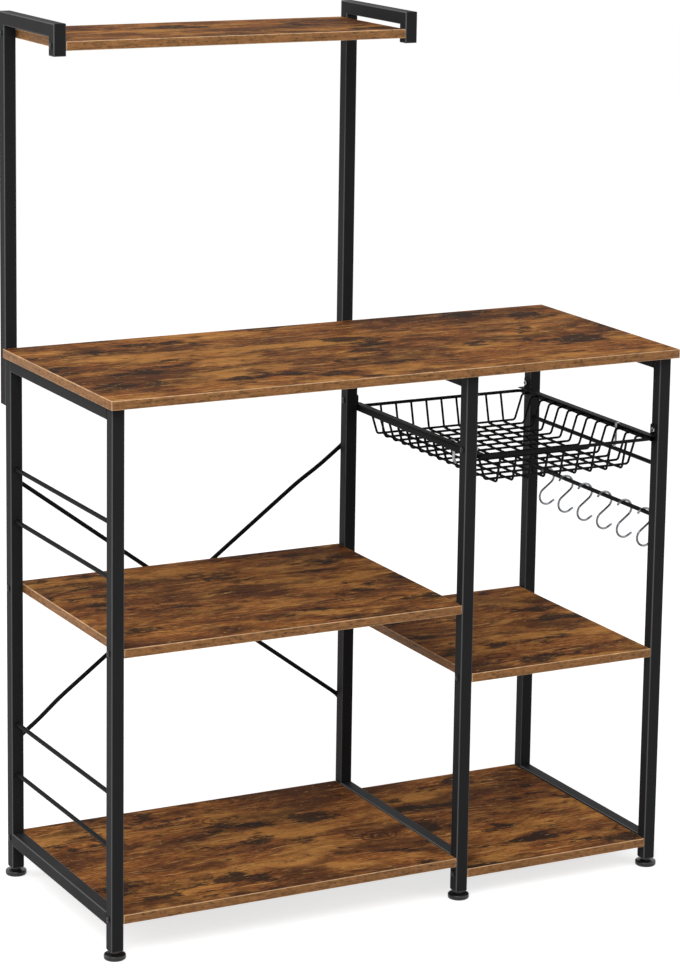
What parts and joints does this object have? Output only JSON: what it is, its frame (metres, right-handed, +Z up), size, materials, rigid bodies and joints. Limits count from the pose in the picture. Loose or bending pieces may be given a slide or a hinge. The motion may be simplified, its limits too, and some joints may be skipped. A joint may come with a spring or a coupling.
{
  "type": "kitchen rack",
  "caption": "Free-standing kitchen rack: wood boards on black tube frames, a raised top shelf, sliding wire basket, S-hooks on a side rail, crossed back brace and levelling feet.",
  "frame": {"origin": "middle of the footprint on the floor", "axes": "+X to the right seen from the front, +Y to the back, +Z up"},
  "size_m": [0.9, 0.4182, 1.275],
  "materials": {
    "powder_black": "matt black powder coat on steel tube and wire",
    "board_wood": "rustic brown wood-grain laminate on particle board",
    "chrome_wire": "bright chrome plate",
    "zinc_steel": "bright zinc plate",
    "black_plastic": "moulded black plastic"
  },
  "bodies": {
    "rack": {"left_front_post": "powder_black", "left_rear_post": "powder_black", "middle_front_post": "powder_black", "middle_rear_post": "powder_black", "right_front_post": "powder_black", "right_rear_post": "powder_black", "left_top_rail": "powder_black", "left_bottom_rail": "powder_black", "middle_top_rail": "powder_black", "middle_bottom_rail": "powder_black", "right_top_rail": "powder_black", "right_bottom_rail": "powder_black", "hutch_left_upright": "powder_black", "hutch_left_arm": "powder_black", "hutch_left_drop": "powder_black", "hutch_right_upright": "powder_black", "hutch_right_arm": "powder_black", "hutch_right_drop": "powder_black", "countertop": "board_wood", "top_shelf": "board_wood", "middle_shelf_left": "board_wood", "middle_shelf_right": "board_wood", "bottom_shelf_left": "board_wood", "bottom_shelf_right": "board_wood", "left_side_rods": "powder_black", "right_guard_rod": "powder_black", "hook_rail": "powder_black", "back_brace_front": "powder_black", "back_brace_rear": "powder_black", "brace_screws": "powder_black", "shelf_screws": "powder_black", "top_shelf_screws": "powder_black", "countertop_screws": "powder_black", "hutch_bolts": "powder_black", "hutch_nuts": "zinc_steel", "runner_bolts": "powder_black", "runner_nuts": "zinc_steel", "hutch_end_caps": "black_plastic", "foot_inserts": "black_plastic", "runner_left": "powder_black", "runner_right": "powder_black"},
    "basket": {"basket_rim": "powder_black", "basket_long_wires": "powder_black", "basket_cross_wires": "powder_black", "basket_keepers": "zinc_steel"},
    "foot_left_front_unit": {"foot_left_front": "black_plastic"},
    "foot_left_rear_unit": {"foot_left_rear": "black_plastic"},
    "foot_middle_front_unit": {"foot_middle_front": "black_plastic"},
    "foot_middle_rear_unit": {"foot_middle_rear": "black_plastic"},
    "foot_right_front_unit": {"foot_right_front": "black_plastic"},
    "foot_right_rear_unit": {"foot_right_rear": "black_plastic"},
    "hook_1_unit": {"hook_1": "chrome_wire"},
    "hook_2_unit": {"hook_2": "chrome_wire"},
    "hook_3_unit": {"hook_3": "chrome_wire"},
    "hook_4_unit": {"hook_4": "chrome_wire"},
    "hook_5_unit": {"hook_5": "chrome_wire"},
    "hook_6_unit": {"hook_6": "chrome_wire"}
  },
  "joints": [
    {"name": "basket_slide", "type": "slide", "parent": "rack", "child": "basket", "axis": [0, -1, 0], "range_m": [0, 0.25]},
    {"name": "hook_1_swing", "type": "hinge", "parent": "rack", "child": "hook_1_unit", "pos_m": [0.4345, 0.1264, 0.539], "axis": [0, 1, 0], "range_deg": [-60, 60]},
    {"name": "hook_2_swing", "type": "hinge", "parent": "rack", "child": "hook_2_unit", "pos_m": [0.4345, 0.0704, 0.539], "axis": [0, 1, 0], "range_deg": [-60, 60]},
    {"name": "hook_3_swing", "type": "hinge", "parent": "rack", "child": "hook_3_unit", "pos_m": [0.4345, 0.0144, 0.539], "axis": [0, 1, 0], "range_deg": [-60, 60]},
    {"name": "hook_4_swing", "type": "hinge", "parent": "rack", "child": "hook_4_unit", "pos_m": [0.4345, -0.0416, 0.539], "axis": [0, 1, 0], "range_deg": [-60, 60]},
    {"name": "hook_5_swing", "type": "hinge", "parent": "rack", "child": "hook_5_unit", "pos_m": [0.4345, -0.0976, 0.539], "axis": [0, 1, 0], "range_deg": [-60, 60]},
    {"name": "hook_6_swing", "type": "hinge", "parent": "rack", "child": "hook_6_unit", "pos_m": [0.4345, -0.1536, 0.539], "axis": [0, 1, 0], "range_deg": [-60, 60]},
    {"name": "foot_left_front_adjust", "type": "slide", "parent": "rack", "child": "foot_left_front_unit", "axis": [0, 0, -1], "range_m": [0, 0.01]},
    {"name": "foot_left_rear_adjust", "type": "slide", "parent": "rack", "child": "foot_left_rear_unit", "axis": [0, 0, -1], "range_m": [0, 0.01]},
    {"name": "foot_middle_front_adjust", "type": "slide", "parent": "rack", "child": "foot_middle_front_unit", "axis": [0, 0, -1], "range_m": [0, 0.01]},
    {"name": "foot_middle_rear_adjust", "type": "slide", "parent": "rack", "child": "foot_middle_rear_unit", "axis": [0, 0, -1], "range_m": [0, 0.01]},
    {"name": "foot_right_front_adjust", "type": "slide", "parent": "rack", "child": "foot_right_front_unit", "axis": [0, 0, -1], "range_m": [0, 0.01]},
    {"name": "foot_right_rear_adjust", "type": "slide", "parent": "rack", "child": "foot_right_rear_unit", "axis": [0, 0, -1], "range_m": [0, 0.01]}
  ]
}
